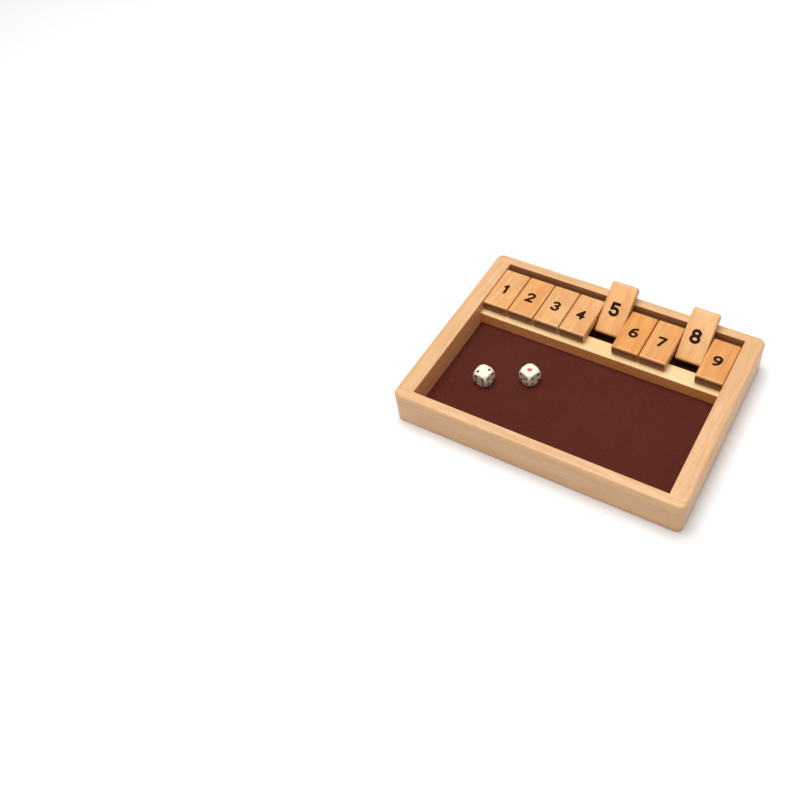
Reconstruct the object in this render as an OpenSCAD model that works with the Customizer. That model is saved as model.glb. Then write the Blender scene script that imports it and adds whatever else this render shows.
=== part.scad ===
// Shut the box game: a shallow wooden box with a felt dice tray, and behind it
// nine number tiles threaded on one hidden steel rod. Flat, a tile lies on the
// rod and on the ledge; turned over, it leans on the top edge of the back rail.
// Millimetres. +Z is up, the tiles are at +Y, the origin is the middle of the
// footprint on the surface that the box stands on.

/* [Box frame] */
// Outer width of the box, left to right
box_w = 240; // [220:1:300]
// Outer depth of the box, front to back
box_d = 178.2; // [170:0.1:200]
// Height of the box
box_h = 30.5; // [29:0.5:40]
// Thickness of the left and right rails
side_t = 15; // [12:0.1:18]
// Thickness of the front rail
front_t = 9; // [8.4:0.1:12]
// Thickness of the back rail
back_t = 9.2; // [9:0.1:12]
// Radius of the four upright outer corners
corner_r = 6; // [3:0.5:8]
// Radius of the round along the outer top edges
edge_r = 2.5; // [1:0.1:2.8]
// Radius of the round along the inner top edges
inner_r = 0.6; // [0.3:0.1:1]
// Radius of the round along the outer bottom edges
foot_r = 0.8; // [0.4:0.1:1.2]

/* [Number tiles] */
// Length of one tile, front to back
tile_len = 44.7; // [42:0.1:46]
// Thickness of one tile
tile_t = 8.8; // [8.4:0.1:9.2]
// Free gap between two neighbouring tiles
tile_gap = 0.7; // [0.6:0.1:1.2]
// Gap between the back ends of the flat tiles and the back rail
back_gap = 5.6; // [5.3:0.1:6.5]
// How far the flat tiles' top faces lie below the top of the rails
tile_sink = 0.5; // [0:0.1:0.8]
// Distance of the rod from the back end of a flat tile
rod_in = 13.2; // [13:0.1:15]
// Depth of the rod below the top face of a flat tile
rod_drop = 5.5; // [5:0.1:5.6]
// How far a turned tile leans back from the level
lean_deg = 34.1; // [34.1:0.1:42]
// Width of the bevel along the long edges of a tile
tile_bevel = 1; // [0.3:0.1:1.2]
// Width of the larger bevel across the two ends of a tile
end_bevel = 2.2; // [1:0.1:2.4]

/* [Steel rod] */
// Diameter of the rod that the tiles turn on
rod_d = 3; // [2.5:0.1:3.5]
// Radial clearance of the rod in its holes
rod_play = 0.05; // [0.03:0.01:0.1]
// Depth of the rod's seat in each side rail
rod_seat = 8; // [5:0.5:9]

/* [Ledge] */
// Width of the ledge that carries the front ends of the tiles
ledge_w = 15.5; // [12:0.1:17]
// Width of the strip of ledge in front of the flat tiles
ledge_lip = 4.8; // [2:0.1:7]
// Gap between the ledge and the tiles' undersides
ledge_play = 0.3; // [0.3:0.05:0.5]

/* [Floor and felt] */
// Thickness of the plywood floor panel
panel_t = 4; // [3:0.5:4]
// Height of the panel's underside above the table
panel_z = 4.7; // [4:0.1:5.5]
// Depth of the groove that the panel sits in
groove_d = 4; // [3:0.5:4.5]
// Free gap round the panel inside its groove
groove_play = 0.1; // [0.05:0.05:0.3]
// Thickness of the felt mat
felt_t = 1.5; // [1:0.1:2]

/* [Corner dowels] */
// Diameter of a corner dowel
dowel_d = 5; // [4:0.5:5]
// How deep a dowel reaches into the front or back rail
dowel_short = 5.5; // [4:0.5:6]
// How deep a dowel reaches into the end of a side rail
dowel_long = 14; // [10:1:14]

/* [Dice] */
// Edge length of a die
die_a = 13; // [11:0.5:14]
// Radius of one pip hollow
pip_r = 1.15; // [0.8:0.05:1.3]
// Depth of one pip hollow
pip_deep = 0.5; // [0.3:0.05:0.7]
// Radius of the larger hollow on the side with one pip
pip_one_r = 1.9; // [1.2:0.05:2.2]
// Left die's centre, left to right
die_left_x = -70.2; // [-85:0.1:-65]
// Left die's centre, front to back
die_left_y = -32.2; // [-50:0.1:0]
// Left die's turn about the upright
die_left_turn = -8; // [-45:1:45]
// Right die's centre, left to right
die_right_x = -37.6; // [-50:0.1:-20]
// Right die's centre, front to back
die_right_y = -15.4; // [-50:0.1:0]
// Right die's turn about the upright
die_right_turn = -21; // [-45:1:45]

/* [Hidden] */
$fn = 64;
e = 0.01;
tiles = 9;
// tiles that stand turned over at rest
turned = [5, 8];
x0 = -box_w / 2;
x1 = box_w / 2;
y0 = -box_d / 2;
y1 = box_d / 2;
// inner faces of the four rails
ix0 = x0 + side_t;
ix1 = x1 - side_t;
iy0 = y0 + front_t;
iy1 = y1 - back_t;
// tile row
pitch = (ix1 - ix0) / tiles;
tile_w = pitch - tile_gap;
tile_back_y = iy1 - back_gap;
tile_front_y = tile_back_y - tile_len;
rod_y = tile_back_y - rod_in;
rod_z = box_h - tile_sink - rod_drop;
// ledge
ledge_y0 = tile_front_y - ledge_lip;
ledge_z1 = box_h - tile_sink - tile_t - ledge_play;
// floor
floor_z = panel_z + panel_t;
felt_z = floor_z + felt_t;
die_z = felt_z + 0.1 + die_a / 2;

// Bar along +X whose lower front edge is scooped to a round: taken away from a
// block it rounds the block's upper back edge. The edge is at the origin.
module x_round(len, r) {
    translate([0, -r, -r]) difference() {
        translate([0, 0, 0]) cube([len, r + 1, r + 1]);
        translate([-e, 0, 0]) rotate([0, 90, 0]) cylinder(r = r, h = len + 2 * e);
    }
}

// Upright corner cutter: leaves a round of radius r on a block whose corner is
// at the origin and whose body lies at -X and -Y.
module z_round(h, r) {
    translate([-r, -r, 0]) difference() {
        cube([r + 1, r + 1, h]);
        translate([0, 0, -e]) cylinder(r = r, h = h + 2 * e);
    }
}

// Carries the round of the top edge (radius q) round an upright corner of
// radius r. The corner is at the origin, the body at -X, -Y and -Z.
module corner_round(r, q) {
    translate([-r, -r, -q]) rotate_extrude(angle = 90) translate([r - q, 0])
        difference() {
            square([q + 1, q + 1]);
            circle(r = q);
        }
}

// What is taken off the front half of the box to round its outer edges:
// lies along the front face, from the left end to the right end.
module front_edge_cuts() {
    for (s = [0, 1]) mirror([s, 0, 0]) {
        translate([x1, y0, -1]) mirror([0, 1, 0]) z_round(box_h + 2, corner_r);
        translate([x1, y0, box_h]) mirror([0, 1, 0]) corner_round(corner_r, edge_r);
        translate([x1, y0, 0]) mirror([0, 0, 1]) mirror([0, 1, 0])
            corner_round(corner_r, foot_r);
        // along the side of the rail's own end
        translate([x1, y0 + corner_r, box_h]) rotate([0, 0, 90]) mirror([0, 1, 0])
            x_round(back_t + 4, edge_r);
        translate([x1, y0 + corner_r, 0]) rotate([0, 0, 90]) mirror([0, 0, 1])
            mirror([0, 1, 0]) x_round(back_t + 4, foot_r);
    }
    translate([x0 + corner_r, y0, box_h]) mirror([0, 1, 0])
        x_round(box_w - 2 * corner_r, edge_r);
    translate([x0 + corner_r, y0, 0]) mirror([0, 0, 1]) mirror([0, 1, 0])
        x_round(box_w - 2 * corner_r, foot_r);
}

// Groove for the floor panel, as one flat slab a little larger than the panel.
module groove_slab() {
    translate([ix0 - groove_d, iy0 - groove_d, panel_z - groove_play])
        cube([ix1 - ix0 + 2 * groove_d, iy1 - iy0 + 2 * groove_d,
              panel_t + 2 * groove_play]);
}

// Places its children at the eight dowel axes. The joint plane is at local
// y = 0 and the side rail lies at +Y.
module at_dowels() {
    for (x = [x0 + side_t / 2 - 0.4, x1 - side_t / 2 + 0.4]) for (z = [9.5, 21]) {
        translate([x, iy0, z]) children();
        translate([x, iy1, z]) mirror([0, 1, 0]) children();
    }
}

module dowel(play) {
    translate([0, -dowel_short - play, 0]) rotate([-90, 0, 0])
        cylinder(d = dowel_d + 2 * play, h = dowel_short + dowel_long + 2 * play);
}

// Thin board across the front of the box, with round corners, the panel groove
// and the dowel holes.
module front_rail() {
    color([0.80, 0.62, 0.45]) difference() {
        translate([x0, y0, 0]) cube([box_w, front_t, box_h]);
        front_edge_cuts();
        translate([ix0, iy0, box_h]) x_round(ix1 - ix0, inner_r);
        groove_slab();
        at_dowels() dowel(0.05);
    }
}

// Board across the back, whose inner top edge the turned tiles lean on.
module back_rail() {
    color([0.82, 0.64, 0.46]) difference() {
        translate([x0, iy1, 0]) cube([box_w, back_t, box_h]);
        mirror([0, 1, 0]) front_edge_cuts();
        translate([ix0, iy1, box_h]) mirror([0, 1, 0]) x_round(ix1 - ix0, inner_r);
        groove_slab();
        at_dowels() dowel(0.05);
    }
}

// Thick board at the right side, with the blind seat of the tile rod.
module side_rail() {
    difference() {
        translate([ix1, iy0, 0]) cube([side_t, iy1 - iy0, box_h]);
        translate([x1, iy0 - 1, box_h]) rotate([0, 0, 90]) mirror([0, 1, 0])
            x_round(iy1 - iy0 + 2, edge_r);
        translate([x1, iy0 - 1, 0]) rotate([0, 0, 90]) mirror([0, 0, 1])
            mirror([0, 1, 0]) x_round(iy1 - iy0 + 2, foot_r);
        translate([ix1, iy0 - 1, box_h]) rotate([0, 0, 90])
            x_round(iy1 - iy0 + 2, inner_r);
        groove_slab();
        at_dowels() dowel(0.05);
        translate([ix1 - 1, rod_y, rod_z]) rotate([0, 90, 0])
            cylinder(r = rod_d / 2 + rod_play, h = rod_seat + 1.2);
    }
}

module right_rail() { color([0.84, 0.65, 0.46]) side_rail(); }

module left_rail() { color([0.84, 0.65, 0.46]) mirror([1, 0, 0]) side_rail(); }

// Strip of wood glued across the box between tray and tiles, standing on the
// felt. Its front part shows, the tiles' front ends lie on the rest.
module tile_ledge() {
    color([0.87, 0.70, 0.52]) translate([ix0, ledge_y0, felt_z])
        difference() {
            cube([ix1 - ix0, ledge_w, ledge_z1 - felt_z]);
            translate([-1, 0, ledge_z1 - felt_z]) mirror([0, 1, 0])
                x_round(ix1 - ix0 + 2, inner_r);
        }
}

// Plywood floor let into the grooves of the four rails.
module floor_panel() {
    g = groove_d - 0.3;
    color([0.78, 0.62, 0.44]) translate([ix0 - g, iy0 - g, panel_z])
        cube([ix1 - ix0 + 2 * g, iy1 - iy0 + 2 * g, panel_t]);
}

// Felt laid over the whole floor, from rail to rail and under the ledge.
module felt_mat() {
    color([0.33, 0.14, 0.13]) translate([ix0 + 0.2, iy0 + 0.2, floor_z])
        cube([ix1 - ix0 - 0.4, iy1 - iy0 - 0.4, felt_t]);
}

// Steel rod held in blind seats in both side rails.
module tile_rod() {
    color([0.62, 0.63, 0.65])
        translate([ix0 - rod_seat, rod_y, rod_z]) rotate([0, 90, 0])
            cylinder(d = rod_d, h = ix1 - ix0 + 2 * rod_seat);
}

// Two glued wooden dowels in each corner joint.
module corner_dowels() {
    color([0.80, 0.66, 0.48]) at_dowels() dowel(0);
}

// Outline with bevelled corners, for the three views of an eased block.
module eased_outline(w, d, c) {
    polygon([[c, 0], [w - c, 0], [w, c], [w, d - c], [w - c, d], [c, d],
             [0, d - c], [0, c]]);
}

// One tile lying flat, with the rod axis along local X at the origin.
module tile_blank() {
    difference() {
        translate([-tile_w / 2, rod_in - tile_len, rod_drop - tile_t])
            intersection() {
                linear_extrude(tile_t) eased_outline(tile_w, tile_len, tile_bevel);
                translate([0, tile_len, 0]) rotate([90, 0, 0])
                    linear_extrude(tile_len)
                        eased_outline(tile_w, tile_t, tile_bevel);
                rotate([90, 0, 90]) linear_extrude(tile_w)
                    eased_outline(tile_len, tile_t, end_bevel);
            }
        translate([-tile_w / 2 - 1, 0, 0]) rotate([0, 90, 0])
            cylinder(r = rod_d / 2 + rod_play, h = tile_w + 2);
    }
}

// Tile number n at its place on the rod, flat or turned over.
module tile(n) {
    up = len(search(n, turned)) > 0;
    color([0.86, 0.67, 0.45])
        translate([ix0 + (n - 0.5) * pitch, rod_y, rod_z])
            rotate([up ? lean_deg - 180 : 0, 0, 0]) tile_blank();
}

module tile_1() { tile(1); }
module tile_2() { tile(2); }
module tile_3() { tile(3); }
module tile_4() { tile(4); }
module tile_5() { tile(5); }
module tile_6() { tile(6); }
module tile_7() { tile(7); }
module tile_8() { tile(8); }
module tile_9() { tile(9); }

// Pip centres of a face with n spots, as steps from the face's middle.
function pips(n) = concat(
    n % 2 == 1 ? [[0, 0]] : [],
    n > 1 ? [[-1, -1], [1, 1]] : [],
    n > 3 ? [[-1, 1], [1, -1]] : [],
    n == 6 ? [[-1, 0], [1, 0]] : []);

// Shallow hollows of one face, on the face at local +Z.
module face_pips(n) {
    r = n == 1 ? pip_one_r : pip_r;
    ball = (r * r + pip_deep * pip_deep) / (2 * pip_deep);
    for (p = pips(n)) translate([p[0] * die_a * 0.25, p[1] * die_a * 0.25,
                                 die_a / 2 - pip_deep + ball])
        sphere(r = ball, $fn = 32);
}

// Rounded die with a on top, b in front and c at the right; opposite faces
// add up to seven.
module die(a, b, c) {
    difference() {
        intersection() {
            cube(die_a, center = true);
            sphere(r = die_a * 0.72, $fn = 64);
        }
        face_pips(a);
        rotate([180, 0, 0]) face_pips(7 - a);
        rotate([90, 0, 0]) face_pips(b);
        rotate([-90, 0, 0]) face_pips(7 - b);
        rotate([0, 90, 0]) face_pips(c);
        rotate([0, -90, 0]) face_pips(7 - c);
    }
}

module die_left() {
    color([0.95, 0.88, 0.76]) translate([die_left_x, die_left_y, die_z])
        rotate([0, 0, die_left_turn]) die(2, 6, 4);
}

module die_right() {
    color([0.95, 0.88, 0.76]) translate([die_right_x, die_right_y, die_z])
        rotate([0, 0, die_right_turn]) die(1, 5, 4);
}

front_rail();
back_rail();
left_rail();
right_rail();
tile_ledge();
floor_panel();
felt_mat();
tile_rod();
corner_dowels();
tile_1();
tile_2();
tile_3();
tile_4();
tile_5();
tile_6();
tile_7();
tile_8();
tile_9();
die_left();
die_right();
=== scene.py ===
# Shut the box game: finish of every surface. Metres, in the part's own frame.
import math

import bmesh
import bpy
import numpy as np
from mathutils import Matrix, Vector, noise


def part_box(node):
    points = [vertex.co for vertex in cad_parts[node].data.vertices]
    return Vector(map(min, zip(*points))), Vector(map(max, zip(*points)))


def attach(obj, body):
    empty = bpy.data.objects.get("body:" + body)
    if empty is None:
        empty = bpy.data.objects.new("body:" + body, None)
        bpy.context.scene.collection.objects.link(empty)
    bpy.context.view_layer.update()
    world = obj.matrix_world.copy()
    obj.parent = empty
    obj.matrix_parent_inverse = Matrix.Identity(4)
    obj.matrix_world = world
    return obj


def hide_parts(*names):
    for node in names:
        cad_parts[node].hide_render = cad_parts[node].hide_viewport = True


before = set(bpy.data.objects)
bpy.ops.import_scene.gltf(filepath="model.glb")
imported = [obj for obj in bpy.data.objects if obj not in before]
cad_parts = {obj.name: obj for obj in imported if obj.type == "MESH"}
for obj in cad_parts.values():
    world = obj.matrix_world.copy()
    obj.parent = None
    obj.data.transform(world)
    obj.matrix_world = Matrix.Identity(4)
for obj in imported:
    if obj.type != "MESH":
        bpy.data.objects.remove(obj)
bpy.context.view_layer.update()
MM = 0.001
scene = bpy.context.scene
coll = scene.collection


# ---------------------------------------------------------------- camera
def place_camera():
    az, el, roll = math.radians(31.7104), math.radians(50.6992), math.radians(-4.4162)
    wide = 0.24
    back = Vector((math.sin(az) * math.cos(el), -math.cos(az) * math.cos(el), math.sin(el)))
    right = Vector((math.cos(az), math.sin(az), 0))
    up = back.cross(right)
    r2 = right * math.cos(roll) + up * math.sin(roll)
    u2 = -right * math.sin(roll) + up * math.cos(roll)
    target = Vector((0.2745, 0.2175, 0)) * wide + Vector((-0.12, -0.0891, 0))
    place = target + back * 3.0661 * wide
    data = bpy.data.cameras.new("photo_camera")
    data.sensor_fit = "HORIZONTAL"
    data.sensor_width = 36.0
    data.lens = 913.8 / 800 * 36.0
    data.shift_x = (400 - 500) / 800
    data.shift_y = 0.0
    data.clip_start, data.clip_end = 0.01, 20
    cam = bpy.data.objects.new("photo_camera", data)
    m = Matrix.Identity(4)
    for i, v in enumerate((r2, u2, back, place)):
        for j in range(3):
            m[j][i] = v[j]
    cam.matrix_world = m
    coll.objects.link(cam)
    scene.camera = cam


place_camera()


# ---------------------------------------------------------------- node help
class Tree:
    """A short way to write a node tree."""

    def __init__(self, name):
        self.mat = bpy.data.materials.new(name)
        self.mat.use_nodes = True
        self.t = self.mat.node_tree
        self.t.nodes.clear()
        self.out = self.t.nodes.new("ShaderNodeOutputMaterial")
        self.bsdf = self.t.nodes.new("ShaderNodeBsdfPrincipled")
        self.t.links.new(self.bsdf.outputs[0], self.out.inputs["Surface"])

    def new(self, kind, **props):
        n = self.t.nodes.new("ShaderNode" + kind)
        for k, v in props.items():
            setattr(n, k, v)
        return n

    def put(self, socket, value):
        if isinstance(value, bpy.types.NodeSocket):
            self.t.links.new(value, socket)
        elif isinstance(value, (tuple, list)) and len(value) == 3 and socket.type == "RGBA":
            socket.default_value = (*value, 1.0)
        else:
            socket.default_value = value

    def math(self, op, a, b=0.0, c=0.0, clamp=False):
        n = self.new("Math", operation=op, use_clamp=clamp)
        for i, v in enumerate((a, b, c)):
            self.put(n.inputs[i], v)
        return n.outputs[0]

    def vec(self, op, a, b=(0, 0, 0)):
        n = self.new("VectorMath", operation=op)
        self.put(n.inputs[0], a)
        if op == "SCALE":
            self.put(n.inputs["Scale"], b)
        else:
            self.put(n.inputs[1], b)
        return n.outputs["Value"] if op in ("LENGTH", "DISTANCE", "DOT_PRODUCT") else n.outputs[0]

    def xyz(self, v):
        n = self.new("SeparateXYZ")
        self.put(n.inputs[0], v)
        return n.outputs

    def combine(self, x, y, z):
        n = self.new("CombineXYZ")
        for i, v in enumerate((x, y, z)):
            self.put(n.inputs[i], v)
        return n.outputs[0]

    def noise(self, v, scale=1.0, detail=3.0, rough=0.5, dist=0.0, colour=False):
        n = self.new("TexNoise")
        self.put(n.inputs["Vector"], v)
        n.inputs["Scale"].default_value = scale
        n.inputs["Detail"].default_value = detail
        n.inputs["Roughness"].default_value = rough
        n.inputs["Distortion"].default_value = dist
        return n.outputs["Color" if colour else "Fac"]

    def span(self, v, a, b, lo=0.0, hi=1.0, smooth=False):
        n = self.new("MapRange", interpolation_type="SMOOTHSTEP" if smooth else "LINEAR", clamp=True)
        for i, x in enumerate((v, a, b, lo, hi)):
            self.put(n.inputs[i], x)
        return n.outputs[0]

    def mix(self, f, a, b, mode="MIX"):
        n = self.new("Mix", data_type="RGBA", blend_type=mode, clamp_factor=True)
        self.put(n.inputs[0], f)
        self.put(n.inputs[6], a)
        self.put(n.inputs[7], b)
        return n.outputs[2]

    def attr(self, name):
        n = self.new("Attribute", attribute_type="GEOMETRY", attribute_name=name)
        return n.outputs["Fac"]

    def bump(self, height, strength, dist):
        n = self.new("Bump")
        n.inputs["Strength"].default_value = strength
        n.inputs["Distance"].default_value = dist
        self.put(n.inputs["Height"], height)
        self.put(self.bsdf.inputs["Normal"], n.outputs[0])

    def set(self, **k):
        names = dict(base="Base Color", rough="Roughness", metal="Metallic", coat="Coat Weight",
                     coat_rough="Coat Roughness", sheen="Sheen Weight", sheen_rough="Sheen Roughness",
                     spec="Specular IOR Level", ior="IOR", aniso="Anisotropic")
        for a, v in k.items():
            self.put(self.bsdf.inputs[names[a]], v)
        return self.mat


def wood(name, base, dark, pale, warm, grain="X", seed=0.0, rings=3.4, ring_mix=0.35, pith=(38.0, -55.0),
         streak=0.45, flecks=0.35, rough=0.42, coat=0.25, bump=0.25, end_grain_and_shade_mix=0.25, end_grain_and_shade_tint=None, blotch=0.35,
         painted_inner_light=None, under=None):
    """Solid wood: growth rings round a far pith, fibres and pores along the grain, slow changes of tone.
    The cut-end mix and tint: how much darker the cut ends are, and towards what; a mild darkening is the end grain's
    own, a near-black one is painted shade.
    The inner-side tint, (axis, sign, place in mm, tint): the side of a rail or ledge that looks into the box, tinted
    darker as painted shade, and lighter as painted light where the tint is above one.
    The underside tint: the side at local -Z, tinted lighter as painted light."""
    t = Tree(name)
    p0 = t.vec("SCALE", t.new("TexCoord").outputs["Object"], 1000.0)
    x0, y0, z0 = t.xyz(p0)
    x, y, z = (y0, x0, z0) if grain == "Y" else (x0, y0, z0)
    p = t.vec("ADD", t.combine(x, y, z), (seed * 137.0, seed * 61.0, seed * 29.0))
    # the trunk was never quite straight
    wave = t.noise(t.vec("MULTIPLY", p, (0.010, 0.030, 0.030)), detail=2.0, colour=True)
    wave = t.vec("SCALE", t.vec("SUBTRACT", wave, (0.5, 0.5, 0.5)), 14.0)
    wx, wy, wz = t.xyz(wave)
    ry = t.math("ADD", t.math("SUBTRACT", y, pith[0]), wy)
    rz = t.math("ADD", t.math("SUBTRACT", z, pith[1]), wz)
    r = t.math("SQRT", t.math("ADD", t.math("MULTIPLY", ry, ry), t.math("MULTIPLY", rz, rz)))
    jitter = t.noise(t.combine(t.math("MULTIPLY", r, 0.11), 3.1 + seed, 0.0), detail=2.0)
    turns = t.math("ADD", t.math("DIVIDE", r, rings), t.math("MULTIPLY", jitter, 2.6))
    f = t.math("FRACT", turns)
    late = t.math("MULTIPLY", t.span(f, 0.25, 0.86, smooth=True), t.span(f, 0.99, 0.90, smooth=True))
    # fibres and pores
    fibre = t.noise(t.vec("MULTIPLY", p, (0.045, 1.3, 1.3)), detail=4.0, rough=0.62)
    fine = t.noise(t.vec("MULTIPLY", p, (0.10, 4.2, 4.2)), detail=3.0, rough=0.6)
    pore = t.span(t.noise(t.vec("MULTIPLY", p, (0.16, 2.6, 2.6)), detail=1.0), 0.66, 0.74, smooth=True)
    tone = t.noise(t.vec("MULTIPLY", p, (0.009, 0.05, 0.05)), detail=3.0, rough=0.55)
    ray = t.span(t.noise(t.vec("MULTIPLY", p, (0.35, 0.9, 0.9)), detail=2.0), 0.52, 0.70)
    patch = t.span(t.noise(t.vec("MULTIPLY", p, (0.065, 0.12, 0.12)), detail=3.0, rough=0.6), 0.46, 0.66, smooth=True)
    c = t.mix(t.span(tone, 0.32, 0.68), base, pale)
    c = t.mix(t.math("MULTIPLY", patch, blotch), c, warm)
    c = t.mix(t.math("MULTIPLY", late, ring_mix), c, dark)
    c = t.mix(t.math("MULTIPLY", t.span(fibre, 0.40, 0.72), streak), c, dark)
    c = t.mix(t.math("MULTIPLY", t.span(fine, 0.45, 0.75), streak * 0.35), c, pale)
    c = t.mix(t.math("MULTIPLY", ray, 0.16), c, pale)
    c = t.mix(t.math("MULTIPLY", pore, flecks), c, tuple(v * 0.62 for v in dark))
    n = t.new("TexCoord").outputs["Normal"]
    nx, ny, nz = t.xyz(n)
    # painted light: the underside is tinted lighter
    if under:
        low = t.span(nz, -0.25, -0.7, smooth=True)
        c = t.mix(low, c, t.mix(1.0, c, under, "MULTIPLY"))
    # painted shade on the side that looks into the box; painted light where the tint is above one
    if painted_inner_light:
        axis, sign, place, tint = painted_inner_light
        way = t.math("MULTIPLY", (nx, ny)[axis], sign)
        here = t.math("MULTIPLY", (x0, y0)[axis], sign)
        inside = t.math("MULTIPLY", t.span(way, 0.55, 0.85, smooth=True), t.span(here, place * sign + 1.5, place * sign + 0.8))
        inside = t.math("MULTIPLY", inside, t.span(here, place * sign - 1.5, place * sign - 0.8))
        c = t.mix(inside, c, t.mix(1.0, c, tint, "MULTIPLY"))
    # cut ends take in more varnish and go darker; the near-black tint given to the tiles' ends is painted shade as
    # well
    along = t.math("ABSOLUTE", ny if grain == "Y" else nx)
    cut = t.math("MULTIPLY", t.span(along, 0.60, 0.96, smooth=True), end_grain_and_shade_mix)
    c = t.mix(cut, c, end_grain_and_shade_tint or dark)
    height = t.math("SUBTRACT", t.math("MULTIPLY", fibre, 0.6), t.math("MULTIPLY", pore, 0.8))
    t.bump(height, bump, 0.00012)
    rr = t.span(fibre, 0.3, 0.7, rough - 0.05, rough + 0.09)
    return t.set(base=c, rough=rr, coat=coat, coat_rough=0.28, spec=0.35)


# ---------------------------------------------------------------- materials
RAIL = dict(base=(0.660, 0.382, 0.188), dark=(0.50, 0.232, 0.092), pale=(0.74, 0.470, 0.250),
            warm=(0.66, 0.335, 0.145))
# painted shade: the rails' sides that look into the box are tinted darker with SHADE
SHADE = (0.86, 0.64, 0.50)
mat_front = wood("rail_wood_front", grain="X", seed=1.0, pith=(-150.0, -62.0), rings=4.2, ring_mix=0.26, streak=0.34,
                 painted_inner_light=(1, 1, -80.1, SHADE), **RAIL)
mat_back = wood("rail_wood_back", grain="X", seed=1.6, pith=(40.0, -62.0), rings=4.2, ring_mix=0.30, streak=0.40,
                painted_inner_light=(1, -1, 79.9, SHADE), **RAIL)
# painted light: the left rail's inner side is tinted lighter instead of darker
mat_left = wood("rail_wood_left", grain="Y", seed=2.3, pith=(-170.0, -70.0), rings=4.6, ring_mix=0.30, streak=0.40,
                painted_inner_light=(0, 1, -105.0, (1.22, 0.97, 0.86)), **RAIL)
mat_right = wood("rail_wood_right", grain="Y", seed=3.9, pith=(60.0, -70.0), rings=4.6, ring_mix=0.30, streak=0.40,
                 painted_inner_light=(0, -1, 105.0, SHADE), **RAIL)
# painted shade: the ledge's face towards the tray is tinted darker
mat_ledge = wood("ledge_wood", base=(0.745, 0.505, 0.250), dark=(0.57, 0.32, 0.12), pale=(0.86, 0.65, 0.36),
                 warm=(0.78, 0.49, 0.22), grain="X", seed=3.1, pith=(10.0, -40.0), ring_mix=0.14, streak=0.2,
                 painted_inner_light=(1, -1, 24.8, (1.02, 0.62, 0.39)))
mat_ply = wood("plywood", base=(0.50, 0.34, 0.19), dark=(0.36, 0.22, 0.11), pale=(0.58, 0.42, 0.26),
               warm=(0.52, 0.33, 0.17), grain="X", seed=4.7, pith=(40.0, -400.0), rings=9.0, ring_mix=0.5,
               rough=0.62, coat=0.0)
mat_dowel = wood("dowel_wood", base=(0.55, 0.40, 0.23), dark=(0.40, 0.25, 0.12), pale=(0.64, 0.49, 0.30),
                 warm=(0.56, 0.38, 0.19), grain="Y", seed=5.2, pith=(90.0, -12.0), rough=0.62, coat=0.0)

TILE_TONES = [0.25, 0.55, 0.30, 0.35, 0.45, 1.0, 0.65, 0.15, 0.80]


def tile_material(n):
    k = TILE_TONES[n - 1]
    tone = lambda a, b: tuple(float(u * (1 - k) + v * k) for u, v in zip(a, b))
    return wood("tile_wood_%d" % n, base=tone((0.690, 0.390, 0.160), (0.670, 0.265, 0.052)),
                dark=tone((0.50, 0.22, 0.070), (0.46, 0.155, 0.028)), pale=tone((0.76, 0.47, 0.215), (0.73, 0.34, 0.095)),
                warm=tone((0.67, 0.29, 0.090), (0.64, 0.215, 0.038)),
                grain="Y", seed=6.0 + 1.7 * n, pith=(6.0 + 5.0 * math.sin(n * 2.1), -26.0 - 4.0 * math.cos(n * 1.3)),
                rings=2.6 + 0.25 * (n % 3), ring_mix=0.32, streak=0.40, rough=0.40, coat=0.3,
                # tile ends: near-black tint, end grain darkening plus painted shade; undersides tinted lighter as
                # painted light
                end_grain_and_shade_mix=0.88, end_grain_and_shade_tint=(0.14, 0.038, 0.008), blotch=0.45, under=(1.12, 1.10, 1.07))


def digit_material():
    t = Tree("burned_digit")
    p = t.vec("SCALE", t.new("TexCoord").outputs["Object"], 1000.0)
    a = t.noise(t.vec("MULTIPLY", p, (1.6, 0.5, 1.0)), detail=4.0, rough=0.65)
    b = t.noise(p, scale=0.35, detail=2.0)
    c = t.mix(t.span(a, 0.35, 0.72), (0.010, 0.0022, 0.0014), (0.034, 0.008, 0.004))
    c = t.mix(t.math("MULTIPLY", t.span(b, 0.5, 0.8), 0.5), c, (0.050, 0.012, 0.006))
    t.bump(a, 0.3, 0.0001)
    return t.set(base=c, rough=t.span(a, 0.3, 0.7, 0.6, 0.78), spec=0.1)


def felt_material():
    t = Tree("felt")
    p = t.vec("SCALE", t.new("TexCoord").outputs["Object"], 1000.0)
    bend = t.vec("SCALE", t.vec("SUBTRACT", t.noise(p, scale=0.45, detail=2.0, colour=True), (0.5, 0.5, 0.5)), 3.0)
    q = t.vec("ADD", p, bend)
    # short matted fibres lying every way
    h1 = t.noise(t.vec("MULTIPLY", q, (0.55, 3.2, 1.0)), detail=3.0, rough=0.6)
    h2 = t.noise(t.vec("MULTIPLY", q, (3.2, 0.55, 1.0)), detail=3.0, rough=0.6)
    fuzz = t.math("MAXIMUM", h1, h2)
    cloud = t.noise(p, scale=0.035, detail=4.0, rough=0.6)
    speck = t.span(t.noise(p, scale=0.55, detail=2.0), 0.60, 0.76)
    c = t.mix(t.span(fuzz, 0.42, 0.72), (0.060, 0.0108, 0.0070), (0.112, 0.0240, 0.0150))
    c = t.mix(t.math("MULTIPLY", t.span(cloud, 0.35, 0.7), 0.45), c, (0.094, 0.0210, 0.0120))
    c = t.mix(t.math("MULTIPLY", speck, 0.35), c, (0.045, 0.0078, 0.0055))
    t.bump(fuzz, 0.55, 0.0004)
    return t.set(base=c, rough=0.95, sheen=0.06, sheen_rough=0.5, spec=0.08)


def steel_material():
    t = Tree("rod_steel")
    p = t.vec("SCALE", t.new("TexCoord").outputs["Object"], 1000.0)
    a = t.noise(t.vec("MULTIPLY", p, (0.12, 5.0, 5.0)), detail=3.0)
    c = t.mix(a, (0.10, 0.095, 0.09), (0.19, 0.18, 0.17))
    t.bump(a, 0.15, 0.00005)
    return t.set(base=c, rough=t.span(a, 0.3, 0.7, 0.42, 0.55), metal=1.0)


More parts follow.
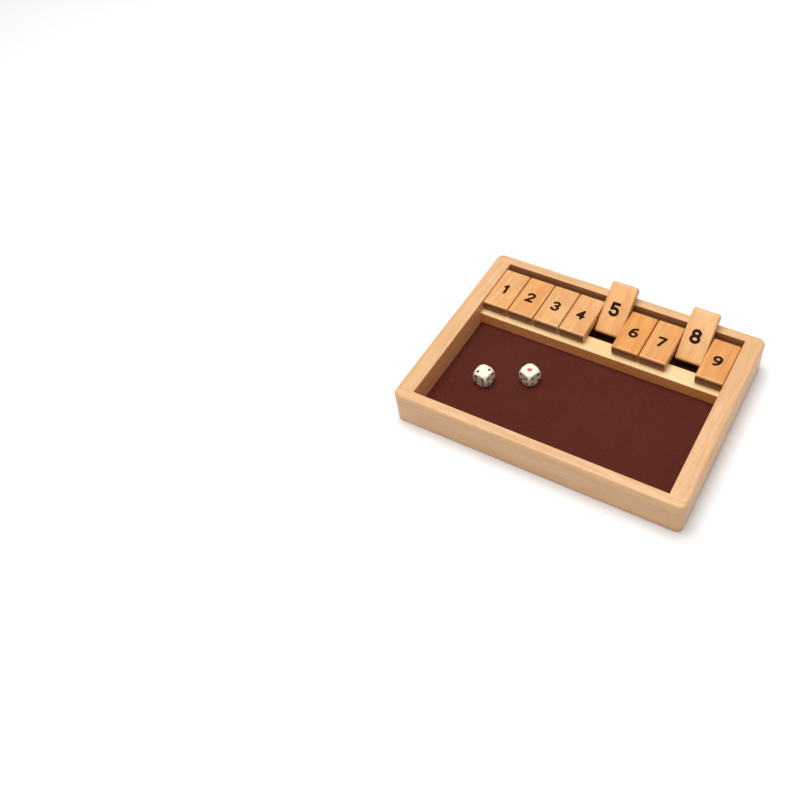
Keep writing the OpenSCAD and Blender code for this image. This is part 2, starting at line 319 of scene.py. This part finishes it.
def die_material():
    t = Tree("die_wood")
    p = t.vec("SCALE", t.new("TexCoord").outputs["Object"], 1000.0)
    fibre = t.noise(t.vec("MULTIPLY", p, (2.2, 2.2, 0.12)), detail=3.0, rough=0.6)
    tone = t.noise(p, scale=0.12, detail=2.0)
    c = t.mix(t.span(fibre, 0.35, 0.7), (0.84, 0.75, 0.62), (0.76, 0.64, 0.49))
    c = t.mix(t.math("MULTIPLY", t.span(tone, 0.4, 0.7), 0.4), c, (0.88, 0.82, 0.72))
    black = t.mix(t.noise(p, scale=2.0), (0.012, 0.008, 0.007), (0.035, 0.022, 0.018))
    red = t.mix(t.noise(p, scale=2.0), (0.50, 0.135, 0.11), (0.38, 0.085, 0.07))
    c = t.mix(t.attr("pip_dark"), c, black)
    c = t.mix(t.attr("pip_red"), c, red)
    t.bump(fibre, 0.12, 0.0001)
    return t.set(base=c, rough=t.span(fibre, 0.3, 0.7, 0.32, 0.42), coat=0.3, coat_rough=0.2, spec=0.5)


mat_digit = digit_material()
mat_felt = felt_material()
mat_steel = steel_material()
mat_die = die_material()


# ---------------------------------------------------------------- mesh help
def add(name, mesh, mats, body, replaces=(), matrix=None):
    o = bpy.data.objects.new(name, mesh)
    coll.objects.link(o)
    for m in mats:
        mesh.materials.append(m)
    if matrix is not None:
        o.matrix_world = matrix
    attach(o, body)
    if replaces:
        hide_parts(*replaces)
    return o


def bm_box(lo, hi):
    bm = bmesh.new()
    bmesh.ops.create_cube(bm, size=1.0)
    lo, hi = Vector(lo), Vector(hi)
    for v in bm.verts:
        for i in range(3):
            v.co[i] = lo[i] if v.co[i] < 0 else hi[i]
    return bm


def bm_bevel(bm, edges, width, segs=4):
    bmesh.ops.bevel(bm, geom=list(edges), offset=width, offset_type="OFFSET", segments=segs,
                    profile=0.5, affect="EDGES", clamp_overlap=True)


def finish_mesh(bm, name, angle=35.0):
    me = bpy.data.meshes.new(name)
    bmesh.ops.recalc_face_normals(bm, faces=bm.faces)
    bm.to_mesh(me)
    bm.free()
    for p in me.polygons:
        p.use_smooth = True
    me.set_sharp_from_angle(angle=math.radians(angle))
    return me


def evaluated_copy(obj, name):
    dg = bpy.context.evaluated_depsgraph_get()
    me = bpy.data.meshes.new_from_object(obj.evaluated_get(dg))
    me.name = name
    return me


def settle(o, name):
    """Applies the modifiers, then lets the wide flat faces rule the shading at the rounded edges."""
    bpy.context.view_layer.update()
    me = evaluated_copy(o, name)
    o.modifiers.clear()
    o.data = me
    for p in me.polygons:
        p.use_smooth = True
    me.set_sharp_from_angle(angle=math.radians(40))
    m = o.modifiers.new("weights", "WEIGHTED_NORMAL")
    m.keep_sharp = True
    m.weight = 90
    bpy.context.view_layer.update()
    o.data = evaluated_copy(o, name)
    o.modifiers.clear()


# ---------------------------------------------------------------- carried-over nodes
for node, m in (("front_rail", mat_front), ("back_rail", mat_back), ("left_rail", mat_left),
                ("right_rail", mat_right), ("floor_panel", mat_ply), ("tile_rod", mat_steel),
                ("corner_dowels", mat_dowel)):
    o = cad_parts[node]
    o.data.materials.clear()
    o.data.materials.append(m)


# ---------------------------------------------------------------- ledge
lo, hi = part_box("tile_ledge")
bm = bm_box(lo, hi)
bm_bevel(bm, [e for e in bm.edges if all(abs(v.co.z - hi.z) < 1e-6 for v in e.verts)
              and abs(e.verts[0].co.x - e.verts[1].co.x) > 0.1], 0.9 * MM, 4)
ledge = add("ledge_strip", finish_mesh(bm, "ledge_strip"), [mat_ledge], "box", ["tile_ledge"])
settle(ledge, "ledge_strip")


# ---------------------------------------------------------------- felt
def felt_mesh():
    lo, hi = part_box("felt_mat")
    on_lo, on_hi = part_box("tile_ledge")
    nx, ny = 210, 160
    xs = np.linspace(lo.x, hi.x, nx)
    ys = np.linspace(lo.y, hi.y, ny)
    bm = bmesh.new()
    top, low = {}, {}
    for i, x in enumerate(xs):
        for j, y in enumerate(ys):
            d = min(x - lo.x, hi.x - x, y - lo.y, hi.y - y)
            # the cut edge is a little pressed down, the nap is uneven
            dip = 0.35 * MM * max(0.0, 1 - d / (1.6 * MM)) ** 2
            nap = 0.10 * MM * noise.noise(Vector((x * 900, y * 900, 0.3))) + 0.08 * MM * noise.noise(Vector((x * 120, y * 120, 4.0)))
            z = hi.z - 0.12 * MM - dip + nap
            # pressed flat under the ledge
            near = max(on_lo.y - y, y - on_hi.y)
            k = min(1.0, max(0.0, near / (1.5 * MM)))
            top[i, j] = bm.verts.new((x, y, (hi.z - 0.20 * MM) * (1 - k) + z * k))
    for i in range(nx - 1):
        for j in range(ny - 1):
            bm.faces.new((top[i, j], top[i + 1, j], top[i + 1, j + 1], top[i, j + 1]))
    edge = ([(i, 0) for i in range(nx)] + [(nx - 1, j) for j in range(1, ny)]
            + [(i, ny - 1) for i in range(nx - 2, -1, -1)] + [(0, j) for j in range(ny - 2, 0, -1)])
    for k in edge:
        c = top[k].co
        low[k] = bm.verts.new((c.x, c.y, lo.z))
    for a, b in zip(edge, edge[1:] + edge[:1]):
        bm.faces.new((top[a], low[a], low[b], top[b]))
    bm.faces.new([low[k] for k in edge])
    return finish_mesh(bm, "felt", 50), (hi.x - lo.x, hi.y - lo.y)


me, felt_size = felt_mesh()
felt = add("felt_sheet", me, [mat_felt], "box", ["felt_mat"])


# ---------------------------------------------------------------- tiles
BOX_H, SINK, TILE_T, ROD_DROP, ROD_IN, TILE_LEN, LEAN = 30.5, 0.5, 8.8, 5.5, 13.2, 44.7, 34.1
lo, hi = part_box("tile_rod")
ROD = Vector((0, (lo.y + hi.y) / 2, (lo.z + hi.z) / 2))
TURNED = (5, 8)


def arc(cx, cy, rx, ry, a0, a1, n=28):
    return [(cx + rx * math.cos(math.radians(a0 + (a1 - a0) * i / n)),
             cy + ry * math.sin(math.radians(a0 + (a1 - a0) * i / n))) for i in range(n + 1)]


def digit_paths(n, a, h):
    """Centre lines of one digit in a box from (-a, -h) to (a, h)."""
    if n == 1:
        return [[(-0.62 * a, 0.58 * h), (0.14 * a, h), (0.14 * a, -h)]]
    if n == 2:
        r = 0.53 * h
        return [arc(0, h - r, 0.96 * a, r, 168, -32) + [(-a, -h), (a, -h)]]
    if n == 3:
        r, q = 0.47 * h, 0.53 * h
        return [arc(0, h - r, 0.90 * a, r, 155, -90), arc(0, q - h, a, q, 90, -155)]
    if n == 4:
        return [[(0.42 * a, -h), (0.42 * a, h), (-a, -0.38 * h), (a, -0.38 * h)]]
    if n == 5:
        q = 0.60 * h
        return [[(0.82 * a, h), (-0.70 * a, h), (-0.80 * a, 0.02 * h)] + arc(-0.02 * a, q - h, a, q, 128, -152)]
    if n == 6:
        q = 0.56 * h
        bow = [(-a, q - h)]
        for i in range(1, 25):
            t = i / 24
            bow.append(((1 - t) ** 2 * -a + 2 * t * (1 - t) * -0.95 * a + t * t * 0.60 * a,
                        (1 - t) ** 2 * (q - h) + 2 * t * (1 - t) * 0.95 * h + t * t * h))
        return [arc(0, q - h, a, q, 0, 360, 48), bow]
    if n == 7:
        return [[(-a, h), (a, h), (-0.28 * a, -h)]]
    if n == 8:
        r, q = 0.465 * h, 0.535 * h
        return [arc(0, h - r, 0.86 * a, r, 0, 360, 48), arc(0, q - h, a, q, 0, 360, 48)]
    return [[(-x, -y) for x, y in path] for path in digit_paths(6, a, h)]


def digit_loops(n, height, width, stroke):
    """Closed outlines, in metres, of the stroked digit, centred at the origin: the level line of the
    distance to its centre lines."""
    a, h = (width - stroke) / 2, (height - stroke) / 2
    step = height / 84
    xs = np.arange(-width / 2 - 3 * step, width / 2 + 3 * step, step)
    ys = np.arange(-height / 2 - 3 * step, height / 2 + 3 * step, step)
    X, Y = np.meshgrid(xs, ys, indexing="ij")
    best = np.full(X.shape, 1e9)
    for path in digit_paths(n, a, h):
        for (ax, ay), (bx, by) in zip(path, path[1:]):
            dx, dy = bx - ax, by - ay
            t = np.clip(((X - ax) * dx + (Y - ay) * dy) / max(dx * dx + dy * dy, 1e-18), 0, 1)
            best = np.minimum(best, np.hypot(X - ax - t * dx, Y - ay - t * dy))
    f = stroke / 2 - best
    f[np.abs(f) < step * 0.02] = step * 0.02
    points, links = {}, {}

    def cross(i, j, k, m):
        key = (min(i, k), min(j, m), i == k)
        if key not in points:
            t = f[i, j] / (f[i, j] - f[k, m])
            points[key] = (xs[i] + t * (xs[k] - xs[i]), ys[j] + t * (ys[m] - ys[j]))
        return key

    for i in range(len(xs) - 1):
        for j in range(len(ys) - 1):
            corner = ((i, j), (i + 1, j), (i + 1, j + 1), (i, j + 1))
            inside = [f[c] > 0 for c in corner]
            cut = [cross(*corner[k], *corner[(k + 1) % 4]) for k in range(4) if inside[k] != inside[(k + 1) % 4]]
            if len(cut) == 4 and inside[0] == (f[i, j] + f[i + 1, j + 1] > 0):
                cut = [cut[1], cut[2], cut[3], cut[0]]
            for p, q in zip(cut[::2], cut[1::2]):
                links.setdefault(p, []).append(q)
                links.setdefault(q, []).append(p)
    loops, seen = [], set()
    for start in sorted(links):
        if start in seen:
            continue
        loop, now, before = [], start, None
        while now not in seen:
            seen.add(now)
            loop.append(points[now])
            ahead = [q for q in links[now] if q != before]
            before, now = now, ahead[0]
        loops.append(loop)
    return loops


def digit_solid(n, depth, height, width, stroke):
    """The digit as a solid from -depth to +depth."""
    bm = bmesh.new()
    edges = []
    for loop in digit_loops(n, height, width, stroke):
        vs = [bm.verts.new((x, y, -depth)) for x, y in loop]
        edges += [bm.edges.new((p, q)) for p, q in zip(vs, vs[1:] + vs[:1])]
    bmesh.ops.triangle_fill(bm, use_beauty=True, use_dissolve=False, edges=edges, normal=(0, 0, 1))
    r = bmesh.ops.extrude_face_region(bm, geom=list(bm.faces))
    for v in [g for g in r["geom"] if isinstance(g, bmesh.types.BMVert)]:
        v.co.z += 2 * depth
    bmesh.ops.recalc_face_normals(bm, faces=bm.faces)
    return bm


def cutter(bm, name):
    me = bpy.data.meshes.new(name)
    bm.to_mesh(me)
    bm.free()
    me.materials.append(mat_digit)
    ob = bpy.data.objects.new(name, me)
    coll.objects.link(ob)
    return ob


def tile_piece(n):
    lo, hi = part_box("tile_%d" % n)
    mid_x = (lo.x + hi.x) / 2
    w = (hi.x - lo.x) / 2
    # local frame: the rod is the X axis, the tile lies flat towards -Y, its top is at +Z
    bm = bm_box((-w, (ROD_IN - TILE_LEN) * MM, (ROD_DROP - TILE_T) * MM), (w, ROD_IN * MM, ROD_DROP * MM))
    # the two ends are rounded more than the long edges
    bm_bevel(bm, [e for e in bm.edges if abs(e.verts[0].co.x - e.verts[1].co.x) > w], 2.4 * MM, 6)
    bm_bevel(bm, [e for e in bm.edges if all(abs(abs(v.co.x) - w) < 1e-7 for v in e.verts)
                  and abs(e.verts[0].co.x - e.verts[1].co.x) < 1e-7], 1.2 * MM, 4)
    me = finish_mesh(bm, "tile_%d_wood" % n)
    me.materials.append(tile_material(n))
    me.materials.append(mat_digit)
    o = bpy.data.objects.new("number_tile_%d" % n, me)
    coll.objects.link(o)
    cuts = []
    b = bmesh.new()
    bmesh.ops.create_cone(b, cap_ends=True, segments=32, radius1=1.6 * MM, radius2=1.6 * MM, depth=2.4 * w)
    bmesh.ops.rotate(b, verts=b.verts, matrix=Matrix.Rotation(math.pi / 2, 3, "Y"))
    c = cutter(b, "bore")
    c.data.materials.clear()
    c.data.materials.append(me.materials[0])
    cuts.append(c)
    mid = (ROD_IN - TILE_LEN / 2) * MM
    # the digit on the face that is on top when the tile lies flat
    b = digit_solid(n, 0.28 * MM, 11.0 * MM, 7.8 * MM, 2.4 * MM)
    bmesh.ops.translate(b, verts=b.verts, vec=(-0.6 * MM, mid - 1.0 * MM, ROD_DROP * MM))
    cuts.append(cutter(b, "digit_top"))
    # and on the underside, upright when the tile is turned over: half a turn about the rod's direction
    b = digit_solid(n, 0.28 * MM, 12.2 * MM, 9.0 * MM, 2.65 * MM)
    bmesh.ops.rotate(b, verts=b.verts, matrix=Matrix.Rotation(math.pi, 3, "X"))
    bmesh.ops.translate(b, verts=b.verts, vec=(-1.1 * MM, mid + 0.5 * MM, (ROD_DROP - TILE_T) * MM))
    cuts.append(cutter(b, "digit_under"))
    for c in cuts:
        m = o.modifiers.new(c.name, "BOOLEAN")
        m.operation = "DIFFERENCE"
        m.solver = "EXACT"
        m.object = c
    settle(o, "tile_%d_mesh" % n)
    for c in cuts:
        bpy.data.objects.remove(c)
    a = math.radians(LEAN - 180) if n in TURNED else 0.0
    o.matrix_world = Matrix.Translation((mid_x, ROD.y, ROD.z)) @ Matrix.Rotation(a, 4, "X")
    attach(o, "tile_%d" % n)
    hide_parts("tile_%d" % n)
    return o


for n in range(1, 10):
    tile_piece(n)


# ---------------------------------------------------------------- dice
PIPS = {1: [(0, 0)], 2: [(-1, -1), (1, 1)], 3: [(0, 0), (-1, -1), (1, 1)],
        4: [(-1, -1), (1, 1), (-1, 1), (1, -1)], 5: [(0, 0), (-1, -1), (1, 1), (-1, 1), (1, -1)],
        6: [(-1, -1), (1, 1), (-1, 1), (1, -1), (-1, 0), (1, 0)]}


def die_piece(name, node, body, values, turn):
    """values: top, front, right; opposite faces add up to seven."""
    lo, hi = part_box(node)
    a = (hi.z - lo.z) / 2
    centre = (lo + hi) / 2
    top, front, right = values
    faces = [(Matrix.Identity(3), top), (Matrix.Rotation(math.pi, 3, "X"), 7 - top),
             (Matrix.Rotation(math.pi / 2, 3, "X"), front), (Matrix.Rotation(-math.pi / 2, 3, "X"), 7 - front),
             (Matrix.Rotation(math.pi / 2, 3, "Y"), right), (Matrix.Rotation(-math.pi / 2, 3, "Y"), 7 - right)]
    n = 72
    u = np.linspace(-1, 1, n + 1)
    # closer rows near the edges, where the surface turns
    u = np.sin(u * math.pi / 2) * 0.35 + u * 0.65
    X, Y = np.meshgrid(u * a, u * a, indexing="ij")
    r = 0.17 * a
    ball = 1.40 * a
    pts, tris, dark, red = [], [], [], []
    for m, value in faces:
        p = np.stack([X.ravel(), Y.ravel(), np.full(X.size, a)], 1)
        core = np.clip(p, -(a - r), a - r)
        d = p - core
        q = core + r * d / np.linalg.norm(d, axis=1, keepdims=True)
        length = np.linalg.norm(q, axis=1, keepdims=True)
        # the corners are tumbled off to a ball, with a soft change
        over = np.clip((length - (ball - 0.10 * a)) / (0.20 * a), 0, None)
        soft = np.where(over < 1, (ball - 0.10 * a) + 0.20 * a * (over - over ** 2 / 2), ball)
        q = np.where(length > ball - 0.10 * a, q / length * soft, q)
        is_dark, is_red = np.zeros(len(q)), np.zeros(len(q))
        big = value == 1
        pr = (2.0 if big else 1.25) * MM
        depth = 0.5 * MM
        for i, j in PIPS[value]:
            dist = np.hypot(q[:, 0] - i * a * 0.5, q[:, 1] - j * a * 0.5)
            t = np.clip(dist / pr, 0, 1)
            q[:, 2] -= depth * (1 - t ** 2) ** 0.8
            mask = np.clip((pr * 1.02 - dist) / (0.12 * MM) + 0.5, 0, 1)
            if big:
                is_red = np.maximum(is_red, mask)
            else:
                is_dark = np.maximum(is_dark, mask)
        base = len(pts)
        R = np.array(m)
        pts.extend(map(tuple, q @ R.T))
        dark.extend(is_dark)
        red.extend(is_red)
        k = n + 1
        for i in range(n):
            for j in range(n):
                s = base + i * k + j
                tris.append((s, s + k, s + k + 1, s + 1))
    me = bpy.data.meshes.new(name)
    me.from_pydata(pts, [], tris)
    for nm, val in (("pip_dark", dark), ("pip_red", red)):
        at = me.attributes.new(nm, "FLOAT", "POINT")
        at.data.foreach_set("value", np.array(val, np.float32))
    bm = bmesh.new()
    bm.from_mesh(me)
    bmesh.ops.remove_doubles(bm, verts=bm.verts, dist=0.004 * MM)
    bmesh.ops.recalc_face_normals(bm, faces=bm.faces)
    bm.to_mesh(me)
    bm.free()
    for p in me.polygons:
        p.use_smooth = True
    world = Matrix.Translation(centre) @ Matrix.Rotation(math.radians(turn), 4, "Z")
    return add(name, me, [mat_die], body, [node], world)


die_piece("die_two", "die_left", "die_left", (2, 6, 4), -8)
die_piece("die_one", "die_right", "die_right", (1, 5, 4), -21)


# ---------------------------------------------------------------- stage and light
def floor_material():
    t = Tree("stage_floor")
    p = t.new("TexCoord").outputs["Object"]
    a = t.noise(p, scale=3.0, detail=2.0)
    return t.set(base=t.mix(a, (0.865, 0.875, 0.895), (0.885, 0.89, 0.905)), rough=0.7, spec=0.2)


bm = bmesh.new()
bmesh.ops.create_grid(bm, x_segments=2, y_segments=2, size=6.0)
floor = bpy.data.objects.new("stage_floor", finish_mesh(bm, "stage_floor"))
coll.objects.link(floor)
floor.data.materials.append(floor_material())


def area(name, place, target, size, power, colour=(1, 1, 1)):
    d = bpy.data.lights.new(name, "AREA")
    d.shape = "DISK"
    d.size = size
    d.energy = power
    d.color = colour
    o = bpy.data.objects.new(name, d)
    o.location = place
    o.rotation_euler = (Vector(target) - Vector(place)).to_track_quat("-Z", "Y").to_euler()
    coll.objects.link(o)
    return o


area("overhead", (-0.22, 0.10, 1.55), (0, 0, 0), 1.2, 25.0, (1.0, 0.99, 0.97))
world = bpy.data.worlds.new("studio")
scene.world = world
world.use_nodes = True
bg = world.node_tree.nodes.get("Background") or world.node_tree.nodes.new("ShaderNodeBackground")
bg.inputs[0].default_value = (1.0, 1.0, 1.0, 1.0)
bg.inputs[1].default_value = 0.46

scene.view_settings.view_transform = "Standard"
scene.view_settings.look = "None"
scene.view_settings.exposure = 0.0
